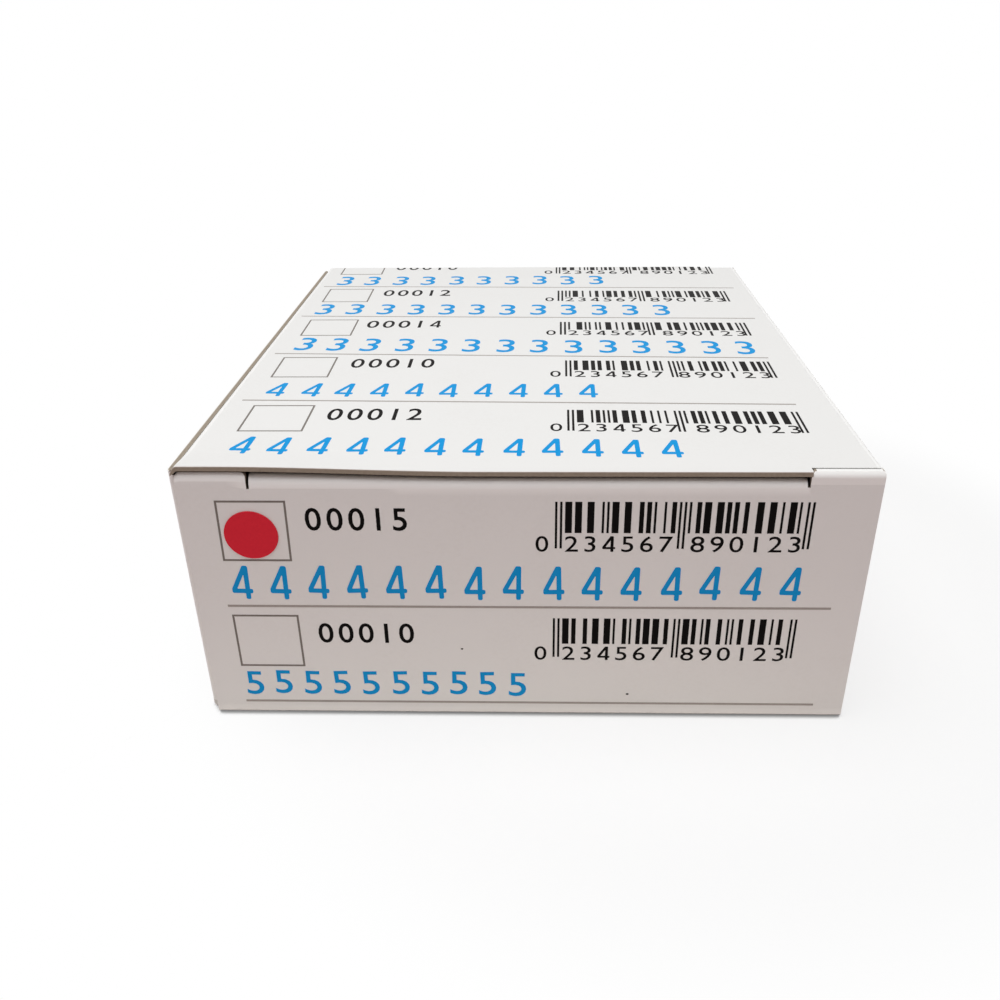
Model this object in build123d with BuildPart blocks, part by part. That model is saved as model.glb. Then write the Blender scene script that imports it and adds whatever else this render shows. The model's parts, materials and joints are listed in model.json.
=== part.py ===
from build123d import *
import math
import os

# A hand numbering stamp with fifteen digit bands, packed in its folding carton.
# Millimetres. The carton stands on its bottom panel: +Z up, +X to the right, the front
# closure faces -Y, and the origin is the centre of the base. The stamp lies on its side
# with its handle towards the front closure and its digits towards the rear one.

# ------------------------------------------------------------------ stamp: driving sizes
band_count = 15
band_pitch = 3.9            # digit spacing along the printed row
band_width = 2.8
band_thickness = 1.1        # rubber web of a band, without its raised digits
band_ease = 0.1             # how far a band stands off the drum and the platen
digit_relief = 0.9          # height of the raised digits over the web

drum_radius = 7.0
disc_radius = 12.5
disc_thickness = 0.8
wheel_face_gap = 0.1        # between the faces of neighbouring wheels
notch_count = 20
notch_radius = 0.9
notch_standoff = 0.3        # how far a notch's centre lies outside the disc's rim
axle_radius = 2.0
axle_running_gap = 0.05     # radial clearance of a wheel's bore
axle_proud = 1.6            # how far the axle stands out of the frame
axle_chamfer = 0.25
groove_depth = 0.5
clip_thickness = 0.6
clip_gap = 0.05             # on each side of a clip in its groove
clip_radius = 3.4
clip_mouth = 2.4

platen_reach = 17.7         # axle to the centres of the platen's nose curves
platen_nose_radius = 1.6
platen_height = 5.6
platen_depth = 6.1
platen_end_gap = 0.05
rib_thickness = 0.7
rib_height = 1.0
rib_setback = 1.6           # from the platen's back

frame_thickness = 1.0
frame_width = 14.4
frame_foot_width = 9.0
frame_bend_radius = 2.0
frame_end_play = 0.2        # between the row of wheels and each arm
frame_foot_setback = 1.2    # the arms end short of the platen's nose
bridge_to_disc = 1.4

screw_radius = 1.2
screw_hole_gap = 0.1
screw_head_radius = 2.2
screw_head_height = 0.9
screw_slot_width = 0.5
screw_slot_depth = 0.4
handle_screw_length = 11.0
handle_screw_spacing = 16.0
platen_screw_length = 6.0

handle_length = 33.0
handle_flange_width = 38.0
handle_flange_height = 2.5
handle_flange_radius = 2.0
handle_thickness = 15.0
handle_head_width = 27.0
handle_head_length = 6.6    # the stretch of full width
handle_tip_length = 3.3     # from there to the tip
handle_waist_width = 18.0
handle_waist_reach = 11.9   # from the bridge to the waist
handle_waist_thickness = 11.0
handle_root_width = 26.0
handle_tip_width = 19.0
handle_tip_thickness = 7.0
handle_corner_radius = 3.4

# ----------------------------------------------------------------- carton: driving sizes
board = 0.5                 # thickness of the paperboard
fold_radius = 0.6           # outside of the four lengthwise folds
crease_radius = 0.4         # round bead along a fold that works as a hinge
crease_gap = 0.03           # between such a bead and the panel that it turns in
flap_gap = 0.1              # between a closure and the dust flaps behind it
side_play = 1.45            # beside the axle's ends
under_gap = 0.3             # under the thumb discs
head_room = 3.2             # from the discs up to the top panel
handle_room = 3.0           # from the front closure to the handle
digit_room = 1.7            # from the digits to the rear closure

closure_left_inset = 0.8    # a closure is cut narrower than the tube
closure_right_inset = 0.1
closure_bend_radius = 1.1
closure_shadow_gap = 0.3    # between the top panel and the closure's rounded edge
ear_width = 7.1
ear_top_gap = 0.1
ear_corner_radius = 0.5
slit_width = 0.3
slit_drop = 1.2             # how far a slit runs down past the bend

tuck_length = 12.0
tuck_droop = 18.0           # degrees below level
tuck_side_gap = 0.4
tuck_corner_radius = 5.0

dust_length = 18.0
dust_base_lift = 1.2
dust_lower_slope = 0.66
dust_shoulder_width = 6.6
dust_shoulder_gap = 0.2     # below the top panel
dust_notch_top = 26.5       # above the floor panel's outer face
dust_tip_drop = 2.6
dust_corner_radius = 1.5

seam_drop = 0.3             # from the top panel's face down to the left panel's raw edge
glue_flap_drop = 12.0       # from the top panel's face down to the glue flap's free edge
glue_flap_setback = 3.0     # from the tube's ends, at the fold
glue_flap_taper = 2.0       # further setback at its free edge

dot_radius = 2.65
dot_thickness = 0.08
dot_from_left = 6.95        # from the closure's left edge
dot_from_top = 6.6          # from the top panel's outer face

# ------------------------------------------------------------------------ derived places
row_length = band_count * band_pitch
frame_inner_x = row_length / 2 + frame_end_play
frame_outer_x = frame_inner_x + frame_thickness
axle_end_x = frame_outer_x + axle_proud
inner_x = axle_end_x + side_play
outer_x = inner_x + board

print_reach = platen_reach + platen_nose_radius + band_ease + band_thickness + digit_relief
stamp_length = handle_length + frame_thickness + bridge_to_disc + disc_radius + print_reach
depth = 2 * board + handle_room + stamp_length + digit_room
outer_y = depth / 2
inner_y = outer_y - board

height = 2 * board + under_gap + 2 * disc_radius + head_room
top_under_z = height - board
seam_z = height - seam_drop

stamp_z = board + under_gap + disc_radius
handle_front_y = -inner_y + handle_room
bridge_front_y = handle_front_y + handle_length
bridge_back_y = bridge_front_y + frame_thickness
axle_y = bridge_back_y + bridge_to_disc + disc_radius
nose_y = axle_y + platen_reach + platen_nose_radius
platen_back_y = nose_y - platen_depth
arm_end_y = nose_y - frame_foot_setback

dust_outer_y = -inner_y + flap_gap
dust_inner_y = dust_outer_y + board
dust_hinge_x = outer_x - crease_radius
dust_hinge_y = dust_outer_y + crease_radius
closure_hinge_y = -outer_y + crease_radius
closure_hinge_z = crease_radius
closure_left_x = -outer_x + closure_left_inset
closure_right_x = outer_x - closure_right_inset
bend_y = -outer_y + closure_bend_radius
bend_z = top_under_z - closure_shadow_gap - closure_bend_radius
bend_mid_radius = closure_bend_radius - board / 2
tuck_hinge_y = bend_y + bend_mid_radius * math.sin(math.radians(tuck_droop))
tuck_hinge_z = bend_z + bend_mid_radius * math.cos(math.radians(tuck_droop))

os.makedirs("parts", exist_ok=True)


def save(part, label):
    part.label = label
    export_step(part, f"parts/{label}.step")
    print(label, round(part.volume, 2))


# =============================================================================== carton
# The tube is one strip of board, folded at four lengthwise creases. A side panel carries
# the fold below it, and the right one also the fold above it. On the left the top panel
# folds down inside the left panel, and the glue flap hangs from that fold, so the left
# panel ends in a raw edge that faces up.


def side_panel(side, ring_height, top_z, label):
    with BuildPart() as panel:
        with BuildSketch(Plane.XZ):
            with Locations((0, ring_height / 2)):
                RectangleRounded(2 * outer_x, ring_height, fold_radius)
                RectangleRounded(
                    2 * inner_x, ring_height - 2 * board, fold_radius - board, mode=Mode.SUBTRACT
                )
            with Locations((side * (outer_x - fold_radius / 2), top_z / 2)):
                Rectangle(fold_radius, top_z, mode=Mode.INTERSECT)
        extrude(amount=-dust_hinge_y, both=True)
        with BuildSketch(Plane.XY):
            with Locations((side * dust_hinge_x, dust_hinge_y), (side * dust_hinge_x, -dust_hinge_y)):
                Circle(crease_radius + crease_gap)
        extrude(amount=top_z, mode=Mode.SUBTRACT)
    save(panel.part, label)


side_panel(-1, height + fold_radius, seam_z, "left_panel")
side_panel(1, height, height, "right_panel")

with BuildPart() as bottom_panel:
    with BuildSketch(Plane.XY):
        Rectangle(2 * (outer_x - fold_radius), -2 * closure_hinge_y)
    extrude(amount=board)
    with BuildSketch(Plane.YZ):
        with Locations((closure_hinge_y, closure_hinge_z), (-closure_hinge_y, closure_hinge_z)):
            Circle(crease_radius + crease_gap)
    extrude(amount=outer_x, both=True, mode=Mode.SUBTRACT)
save(bottom_panel.part, "bottom_panel")

with BuildPart() as top_panel:
    with BuildSketch(Plane.XZ):
        with Locations((fold_radius, height / 2)):
            RectangleRounded(2 * (inner_x + fold_radius), height, fold_radius)
            RectangleRounded(
                2 * (inner_x + fold_radius - board), height - 2 * board, fold_radius - board, mode=Mode.SUBTRACT
            )
        with Locations(((board - fold_radius) / 2, height - fold_radius / 2)):
            Rectangle(inner_x + outer_x - fold_radius, fold_radius, mode=Mode.INTERSECT)
    extrude(amount=outer_y, both=True)
save(top_panel.part, "top_panel")

with BuildPart() as glue_flap:
    flap_top_z = height - fold_radius
    flap_low_z = height - glue_flap_drop
    flap_long = outer_y - glue_flap_setback
    flap_short = flap_long - glue_flap_taper
    with BuildSketch(Plane.YZ.offset(-inner_x)):
        Polygon(
            (-flap_long, flap_top_z),
            (-flap_short, flap_low_z),
            (flap_short, flap_low_z),
            (flap_long, flap_top_z),
            align=None,
        )
    extrude(amount=board)
save(glue_flap.part, "glue_flap")

# A closure turns on the crease along the bottom panel. Its top edge bends in between two
# slits and goes on as the tuck. Outside the slits an ear stands straight up at each corner.
ear_left_x = closure_left_x + ear_width
ear_right_x = closure_right_x - ear_width
ear_top_z = top_under_z - ear_top_gap

with BuildPart() as front_closure:
    with BuildSketch(Plane.YZ.offset(closure_left_x)):
        with Locations((closure_hinge_y, closure_hinge_z)):
            Circle(crease_radius)
        with Locations((-outer_y + board / 2, (closure_hinge_z + bend_z) / 2)):
            Rectangle(board, bend_z - closure_hinge_z)
    extrude(amount=closure_right_x - closure_left_x)
    with BuildSketch(Plane.XZ.offset(inner_y)):
        for ear_x in (closure_left_x + ear_width / 2, closure_right_x - ear_width / 2):
            with Locations((ear_x, (bend_z + ear_top_z) / 2)):
                Rectangle(ear_width, ear_top_z - bend_z)
        fillet(vertices().group_by(Axis.Z)[-1], ear_corner_radius)
    extrude(amount=board)
    with BuildSketch(Plane.YZ.offset(ear_left_x + slit_width)):
        with BuildLine():
            outer_arc = CenterArc((bend_y, bend_z), closure_bend_radius, 180, -90 - tuck_droop)
            inner_arc = CenterArc((bend_y, bend_z), closure_bend_radius - board, 180, -90 - tuck_droop)
            Line(outer_arc @ 0, inner_arc @ 0)
            Line(outer_arc @ 1, inner_arc @ 1)
        make_face()
    extrude(amount=ear_right_x - ear_left_x - 2 * slit_width)
    with BuildSketch(Plane.XZ.offset(inner_y)):
        for slit_x in (ear_left_x + slit_width / 2, ear_right_x - slit_width / 2):
            with Locations((slit_x, bend_z - slit_drop / 2)):
                Rectangle(slit_width, slit_drop)
    extrude(amount=board, mode=Mode.SUBTRACT)
    with BuildSketch(Plane.YZ):
        with Locations((tuck_hinge_y, tuck_hinge_z)):
            Circle(board / 2 + crease_gap)
    extrude(amount=outer_x, both=True, mode=Mode.SUBTRACT)
save(front_closure.part, "front_closure")

# The tuck is drawn in its own plane, which leans down from its hinge line.
tuck_plane = Plane(
    origin=(0, tuck_hinge_y, tuck_hinge_z), x_dir=(1, 0, 0), z_dir=Vector(0, 0, 1).rotate(Axis.X, -tuck_droop)
)
tuck_left = ear_left_x + slit_width + tuck_side_gap
tuck_right = ear_right_x - slit_width - tuck_side_gap

with BuildPart() as front_tuck:
    with BuildSketch(tuck_plane):
        with Locations(((tuck_left + tuck_right) / 2, tuck_length / 2)):
            Rectangle(tuck_right - tuck_left, tuck_length)
        fillet(vertices().sort_by(Axis.Y)[-2:], tuck_corner_radius)
    extrude(amount=board / 2, both=True)
    with BuildSketch(Plane.YZ.offset(tuck_left)):
        with Locations((tuck_hinge_y, tuck_hinge_z)):
            Circle(board / 2)
    extrude(amount=tuck_right - tuck_left)
save(front_tuck.part, "front_tuck")

# A dust flap turns in from a side panel's end behind the closure. Its shoulder fills the
# slit's corner, its upper edge clears the tuck and its lower edge clears the closure.
dust_shoulder_z = top_under_z - dust_shoulder_gap
dust_low_tip_z = dust_base_lift + dust_length * dust_lower_slope
dust_high_tip_z = dust_notch_top - dust_tip_drop


def dust_flap(side):
    with BuildPart() as flap:
        with BuildSketch(Plane.XZ.offset(-dust_inner_y)):
            Polygon(
                (side * dust_hinge_x, dust_base_lift),
                (side * (dust_hinge_x - dust_length), dust_low_tip_z),
                (side * (dust_hinge_x - dust_length), dust_high_tip_z),
                (side * (dust_hinge_x - dust_shoulder_width), dust_notch_top),
                (side * (dust_hinge_x - dust_shoulder_width), dust_shoulder_z),
                (side * dust_hinge_x, dust_shoulder_z),
                align=None,
            )
            tips = vertices().sort_by(Axis.X)
            fillet(tips[-2:] if side < 0 else tips[:2], dust_corner_radius)
        extrude(amount=board)
        with BuildSketch(Plane.XY.offset(dust_base_lift)):
            with Locations((side * dust_hinge_x, dust_hinge_y)):
                Circle(crease_radius)
        extrude(amount=dust_shoulder_z - dust_base_lift)
    return flap.part


dust_left = dust_flap(-1)
dust_right = dust_flap(1)
save(dust_left, "front_dust_flap_left")
save(dust_right, "front_dust_flap_right")

# The rear end is the front one's mirror image.
for front, label in (
    (front_closure.part, "rear_closure"),
    (front_tuck.part, "rear_tuck"),
    (dust_left, "rear_dust_flap_left"),
    (dust_right, "rear_dust_flap_right"),
):
    with BuildPart() as rear:
        mirror(front, about=Plane.XZ)
    save(rear.part, label)

with BuildPart() as size_dot:
    with BuildSketch(Plane.XZ.offset(outer_y)):
        with Locations((closure_left_x + dot_from_left, height - dot_from_top)):
            Circle(dot_radius)
    extrude(amount=dot_thickness)
save(size_dot.part, "size_dot")

# ================================================================================ stamp
# One steel strip is bent to a U. Its bridge carries the handle, its arms carry the axle
# and the platen bar, and the arms narrow towards the platen.
platen_y = (nose_y + platen_back_y) / 2
screw_hole_radius = screw_radius + screw_hole_gap
screw_xs = (-handle_screw_spacing / 2, handle_screw_spacing / 2)

with BuildPart() as frame:
    with BuildSketch(Plane.XY.offset(stamp_z)):
        with Locations((0, (bridge_front_y + arm_end_y) / 2)):
            Rectangle(2 * frame_outer_x, arm_end_y - bridge_front_y)
        fillet(vertices().group_by(Axis.Y)[0], frame_bend_radius)
        with BuildSketch(Plane.XY.offset(stamp_z), mode=Mode.SUBTRACT):
            with Locations((0, (bridge_back_y + arm_end_y + frame_bend_radius) / 2)):
                RectangleRounded(
                    2 * frame_inner_x,
                    arm_end_y + frame_bend_radius - bridge_back_y,
                    frame_bend_radius - frame_thickness,
                )
    extrude(amount=frame_width / 2, both=True)
    with BuildSketch(Plane.YZ):
        Polygon(
            (bridge_front_y, stamp_z - frame_width / 2),
            (axle_y, stamp_z - frame_width / 2),
            (arm_end_y, stamp_z - frame_foot_width / 2),
            (arm_end_y, stamp_z + frame_foot_width / 2),
            (axle_y, stamp_z + frame_width / 2),
            (bridge_front_y, stamp_z + frame_width / 2),
            align=None,
        )
        fillet(vertices().group_by(Axis.Y)[-1], frame_bend_radius)
    extrude(amount=frame_outer_x, both=True, mode=Mode.INTERSECT)
    with BuildSketch(Plane.YZ):
        with Locations((axle_y, stamp_z)):
            Circle(axle_radius + axle_running_gap)
        with Locations((platen_y, stamp_z)):
            Circle(screw_hole_radius)
    extrude(amount=frame_outer_x, both=True, mode=Mode.SUBTRACT)
    with BuildSketch(Plane.XZ.offset(-bridge_back_y)):
        for screw_x in screw_xs:
            with Locations((screw_x, stamp_z)):
                Circle(screw_hole_radius)
    extrude(amount=frame_thickness, mode=Mode.SUBTRACT)
save(frame.part, "frame")

# The handle is moulded in one piece: a flange on the bridge, a waist and a rounded head.
handle_head_end = handle_length - handle_tip_length
handle_stations = (
    (0.0, handle_root_width, handle_thickness),
    (handle_waist_reach, handle_waist_width, handle_waist_thickness),
    (handle_head_end - handle_head_length, handle_head_width, handle_thickness),
    (handle_head_end, handle_head_width, handle_thickness),
    (handle_length, handle_tip_width, handle_tip_thickness),
)

with BuildPart() as handle:
    for reach, width, thickness in handle_stations:
        with BuildSketch(Plane.XZ.offset(-bridge_front_y + reach)):
            with Locations((0, stamp_z)):
                RectangleRounded(width, thickness, handle_corner_radius)
    loft()
    with BuildSketch(Plane.XZ.offset(-bridge_front_y)):
        with Locations((0, stamp_z)):
            RectangleRounded(handle_flange_width, handle_thickness, handle_flange_radius)
    extrude(amount=handle_flange_height)
    with BuildSketch(Plane.XZ.offset(-bridge_front_y)):
        for screw_x in screw_xs:
            with Locations((screw_x, stamp_z)):
                Circle(screw_hole_radius)
    extrude(amount=handle_screw_length, mode=Mode.SUBTRACT)
save(handle.part, "handle")

# Slotted pan-head screws: two up through the bridge, one in through each arm.
with BuildPart() as handle_screws:
    for screw_x in screw_xs:
        with BuildSketch(Plane.XZ.offset(-bridge_back_y)):
            with Locations((screw_x, stamp_z)):
                Circle(screw_radius)
        extrude(amount=handle_screw_length)
        with BuildSketch(Plane.XZ.offset(-bridge_back_y - screw_head_height)):
            with Locations((screw_x, stamp_z)):
                Circle(screw_head_radius)
        extrude(amount=screw_head_height)
        with BuildSketch(Plane.XZ.offset(-bridge_back_y - screw_head_height)):
            with Locations((screw_x, stamp_z)):
                Rectangle(2 * screw_head_radius, screw_slot_width)
        extrude(amount=screw_slot_depth, mode=Mode.SUBTRACT)
save(handle_screws.part, "handle_screws")

with BuildPart() as axle:
    with BuildSketch(Plane.YZ):
        with Locations((axle_y, stamp_z)):
            Circle(axle_radius)
    extrude(amount=axle_end_x, both=True)
    groove_width = clip_thickness + 2 * clip_gap
    for groove_x in (frame_outer_x + clip_gap, -frame_outer_x - clip_gap - groove_width):
        with BuildSketch(Plane.YZ.offset(groove_x)):
            with Locations((axle_y, stamp_z)):
                Circle(axle_radius)
                Circle(axle_radius - groove_depth, mode=Mode.SUBTRACT)
        extrude(amount=groove_width, mode=Mode.SUBTRACT)
    chamfer(edges().group_by(Axis.X)[0] + edges().group_by(Axis.X)[-1], axle_chamfer)
save(axle.part, "axle")

with BuildPart() as axle_clips:
    with BuildSketch(Plane.YZ.offset(frame_outer_x + 2 * clip_gap)):
        with Locations((axle_y, stamp_z)):
            Circle(clip_radius)
            Circle(axle_radius - groove_depth + clip_gap, mode=Mode.SUBTRACT)
        with Locations((axle_y - clip_radius / 2, stamp_z)):
            Rectangle(clip_radius, clip_mouth, mode=Mode.SUBTRACT)
    extrude(amount=clip_thickness)
    mirror(about=Plane.YZ)
save(axle_clips.part, "axle_clips")

# The platen bar holds the bands out to a flat printing edge, one rib between two bands.
wheel_width = band_pitch - wheel_face_gap
drum_width = wheel_width - disc_thickness


def wheel_start(index):
    return (index - band_count / 2) * band_pitch + wheel_face_gap / 2


rib_xs = [wheel_start(i) + drum_width + disc_thickness / 2 for i in range(band_count)]
platen_half_length = frame_inner_x - platen_end_gap

with BuildPart() as platen_bar:
    with BuildSketch(Plane.YZ):
        with Locations((platen_y, stamp_z)):
            RectangleRounded(platen_depth, platen_height, platen_nose_radius)
    extrude(amount=platen_half_length, both=True)
    for rib_x in rib_xs:
        with BuildSketch(Plane.YZ.offset(rib_x - rib_thickness / 2)):
            with Locations((platen_y + (rib_height + rib_setback) / 2, stamp_z)):
                RectangleRounded(
                    platen_depth + rib_height - rib_setback,
                    platen_height + 2 * rib_height,
                    platen_nose_radius + rib_height,
                )
        extrude(amount=rib_thickness)
    for side in (-1, 1):
        with BuildSketch(Plane.YZ.offset(side * platen_half_length)):
            with Locations((platen_y, stamp_z)):
                Circle(screw_hole_radius)
        extrude(amount=-side * platen_screw_length, mode=Mode.SUBTRACT)
save(platen_bar.part, "platen_bar")

with BuildPart() as platen_screws:
    with BuildSketch(Plane.YZ.offset(frame_outer_x)):
        with Locations((platen_y, stamp_z)):
            Circle(screw_radius)
    extrude(amount=-platen_screw_length)
    with BuildSketch(Plane.YZ.offset(frame_outer_x)):
        with Locations((platen_y, stamp_z)):
            Circle(screw_head_radius)
    extrude(amount=screw_head_height)
    with BuildSketch(Plane.YZ.offset(frame_outer_x + screw_head_height)):
        with Locations((platen_y, stamp_z)):
            Rectangle(screw_slot_width, 2 * screw_head_radius)
    extrude(amount=-screw_slot_depth, mode=Mode.SUBTRACT)
    mirror(about=Plane.YZ)
save(platen_screws.part, "platen_screws")


# A wheel is a notched thumb disc with a plain drum beside it, bored for the axle.
def thumb_wheel(index):
    start = wheel_start(index)
    with BuildPart() as wheel:
        with BuildSketch(Plane.YZ.offset(start)):
            with Locations((axle_y, stamp_z)):
                Circle(drum_radius)
        extrude(amount=drum_width)
        with BuildSketch(Plane.YZ.offset(start + drum_width)):
            with Locations((axle_y, stamp_z)):
                Circle(disc_radius)
                with PolarLocations(disc_radius + notch_standoff, notch_count):
                    Circle(notch_radius, mode=Mode.SUBTRACT)
        extrude(amount=disc_thickness)
        with BuildSketch(Plane.YZ.offset(start)):
            with Locations((axle_y, stamp_z)):
                Circle(axle_radius + axle_running_gap)
        extrude(amount=wheel_width, mode=Mode.SUBTRACT)
    return wheel.part


# A band is a closed loop round the drum and the platen's two nose curves. Its two long runs
# lean towards each other from the drum to the nose.
nose_rise = platen_height / 2 - platen_nose_radius
nose_distance = math.hypot(platen_reach, nose_rise)
run_lean = math.degrees(
    math.asin((drum_radius - platen_nose_radius) / nose_distance) - math.atan(nose_rise / platen_reach)
)


def band_outline(standoff):
    drum_curve = drum_radius + standoff
    nose_curve = platen_nose_radius + standoff
    nose_turn = 90 - run_lean
    with BuildLine() as outline:
        drum = CenterArc((axle_y, stamp_z), drum_curve, nose_turn, 360 - 2 * nose_turn)
        upper = CenterArc((axle_y + platen_reach, stamp_z + nose_rise), nose_curve, 0, nose_turn)
        lower = CenterArc((axle_y + platen_reach, stamp_z - nose_rise), nose_curve, -nose_turn, nose_turn)
        Line(drum @ 0, upper @ 1)
        Line(upper @ 0, lower @ 1)
        Line(lower @ 0, drum @ 1)
    return outline.line


def digit_band(index):
    start = wheel_start(index) + (drum_width - band_width) / 2
    with BuildPart() as band:
        with BuildSketch(Plane.YZ.offset(start)):
            with BuildLine():
                add(band_outline(band_ease + band_thickness))
            make_face()
            with BuildLine():
                add(band_outline(band_ease))
            make_face(mode=Mode.SUBTRACT)
        extrude(amount=band_width)
    return band.part


for index in range(band_count):
    save(thumb_wheel(index), f"thumb_wheel_{index + 1:02d}")
    save(digit_band(index), f"digit_band_{index + 1:02d}")

print("carton outside", round(2 * outer_x, 3), round(depth, 3), round(height, 3))
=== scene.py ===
# %% [markdown]
# # A numbering stamp in its folding carton
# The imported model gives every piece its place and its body. This notebook dresses it: folded
# board for the carton, thin printed ink on its faces, and rubber bands with raised digits on
# the stamp inside. The sizes of both are written in millimetres and turned to metres at the end.

# %% Load the frame
import json
import math
from functools import partial

import bmesh
import bpy
from mathutils import Euler, Matrix, Vector


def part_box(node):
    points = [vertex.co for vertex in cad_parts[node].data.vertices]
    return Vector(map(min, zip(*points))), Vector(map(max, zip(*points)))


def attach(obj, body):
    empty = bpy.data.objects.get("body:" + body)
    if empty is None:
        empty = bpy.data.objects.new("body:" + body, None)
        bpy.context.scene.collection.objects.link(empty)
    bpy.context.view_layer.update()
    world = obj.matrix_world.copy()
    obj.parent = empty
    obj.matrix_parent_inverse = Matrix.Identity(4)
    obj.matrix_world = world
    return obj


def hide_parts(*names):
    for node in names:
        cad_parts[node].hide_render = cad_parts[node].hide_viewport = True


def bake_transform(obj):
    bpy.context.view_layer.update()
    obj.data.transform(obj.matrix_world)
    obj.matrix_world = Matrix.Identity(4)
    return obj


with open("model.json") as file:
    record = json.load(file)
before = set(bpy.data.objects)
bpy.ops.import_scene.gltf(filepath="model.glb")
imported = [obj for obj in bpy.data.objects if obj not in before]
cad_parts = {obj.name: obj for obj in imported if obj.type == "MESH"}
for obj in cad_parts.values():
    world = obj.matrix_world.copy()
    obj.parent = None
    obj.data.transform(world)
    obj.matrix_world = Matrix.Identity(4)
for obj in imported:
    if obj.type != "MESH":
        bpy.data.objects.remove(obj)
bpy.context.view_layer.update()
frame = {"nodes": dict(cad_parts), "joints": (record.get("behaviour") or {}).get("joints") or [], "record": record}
MM = 0.001
scene = bpy.context.scene
nodes = frame["nodes"]
hinges = {j["name"]: Vector(j["pos_m"]) / MM for j in frame["joints"] if "pos_m" in j}

# %% [markdown]
# ## Sizes
# The carton's outside, its board and its fold lines come from the frame, so that nothing can
# drift away from the solids. The few sizes that the frame can't tell are named here.


# %% Read the carton's sizes from the frame
def box_mm(node):
    low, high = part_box(node)
    return low / MM, high / MM


half_width = box_mm("right_panel")[1].x
half_depth = box_mm("top_panel")[1].y
height = box_mm("top_panel")[1].z
board = box_mm("bottom_panel")[1].z
seam_z = box_mm("left_panel")[1].z
glue_low_z = box_mm("glue_flap")[0].z
glue_half = box_mm("glue_flap")[1].y
closure_left = box_mm("front_closure")[0].x
closure_right = box_mm("front_closure")[1].x
ear_top = box_mm("front_closure")[1].z
carton_size = (2 * half_width, 2 * half_depth, height)
print("carton", [round(size, 2) for size in carton_size], "board", round(board, 3))

# %% Sizes that the board is cut and folded to
ends = (("front", -1), ("rear", 1))  # and the way along Y that each one faces
fold_radius = 0.6        # outside of the lengthwise folds
fold_slack = 0.01        # a point this near a fold belongs to it
crease_radius = 0.55     # outside of the creases that open
crease_start = 0.9       # how far before the end of the carton a crease piece begins
panel_setback = 0.5      # how far before the dust flaps' creases the side panels end
glue_taper = 2.0
bend_radius = 1.1        # the closure's soft upper edge
tuck_droop = 18          # degrees below level
tuck_length = 12
tuck_side_gap = 0.4
tuck_corner = 5
slit_width = 0.26
slit_drop = (0.1, -0.25)  # below the bend, left and right; the right slit stops above it
ear_width = 6.87
ear_corner = 0.5
ear_lean = 0.35          # how far the ears' tips are pressed in
ear_reach = (0.9, 0.6)   # over how much of its height the left and the right ear leans
ear_highlight_reach = 0.75          # over how much of its height an ear's tip is painted whiter, as a painted highlight
tall_ear_drop = 0.08     # the right ear stands nearly as high as the top panel
tall_ear_corner = 0.2
notch_gap = 0.4          # behind the right ear, to the notch in the top panel's edge
notch_side_gap = 0.1     # from the notch's inner end to the slit beside the ear
print("slit from side", round(half_width - closure_right + ear_width, 2), "mm")

# %% Where the top panel's front left corner springs up
edge_lift = 0.5
closure_lift = 0.7       # the closure and its tuck spring up by this share of it
lift_across = (4, half_width - 5)                # going left, it starts and is full
lift_end = (half_width - 1.3, half_width - 0.3)  # and dies away at the fold
lift_forward = (half_depth - 4.5, half_depth)
lift_upward = (height - 2.7, height - 0.6)
print("lift", edge_lift, "mm, full from x", -lift_across[1], "to", -lift_end[0])


# %% [markdown]
# ## Colours and nodes
# Colours are picked as sRGB hex values, as in any paint program, and shaders work in linear
# light, so one function converts them. One helper adds every node, and each tree gets it with
# the tree filled in. It takes the settings by name and the inputs by socket. An input can be a
# value, a hex colour, the socket to link, or a node, which gives its first output in use.


# %% Helpers for every node tree
def rgba(hex_code):
    channels = [int(hex_code[i:i + 2], 16) / 255 for i in (1, 3, 5)]
    linear = [c / 12.92 if c <= 0.04045 else ((c + 0.055) / 1.055) ** 2.4 for c in channels]
    return (*linear, 1.0)


def set_inputs(node, inputs):
    for name, value in inputs.items():
        if isinstance(value, bpy.types.Node):
            value = next(output for output in value.outputs if output.enabled)
        if isinstance(value, bpy.types.NodeSocket):
            node.id_data.links.new(value, node.inputs[name])
        else:
            node.inputs[name].default_value = rgba(value) if isinstance(value, str) else value
    return node


def add_node(tree, kind, inputs=None, **settings):
    node = tree.nodes.new(kind)
    for name, value in settings.items():
        setattr(node, name, value)
    return set_inputs(node, inputs or {})


def new_material(name, **sockets):
    """A material, the adder for its tree, its shader and the Object coordinates for its patterns."""
    material = bpy.data.materials.new(name)
    material.use_nodes = True
    add = partial(add_node, material.node_tree)
    shader = material.node_tree.nodes["Principled BSDF"]
    for socket, value in sockets.items():
        shader.inputs[socket.replace("_", " ")].default_value = value
    return material, add, shader, add("ShaderNodeTexCoord").outputs["Object"]


def finish_surface(shader, colour, texture, strength, depth, rough=()):
    """Presses a texture in, depth millimetres deep; rough is the roughness at its lows and highs."""
    add = partial(add_node, shader.id_data)
    bump = add("ShaderNodeBump", {"Height": texture, "Strength": strength, "Distance": depth * MM})
    set_inputs(shader, {"Base Color": colour, "Normal": bump})
    if rough:
        gloss = add("ShaderNodeMapRange", {"Value": texture, "To Min": rough[0], "To Max": rough[1]})
        set_inputs(shader, {"Roughness": gloss})


print("white board in linear light", [round(c, 3) for c in rgba("#EEEDEB")])
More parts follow.
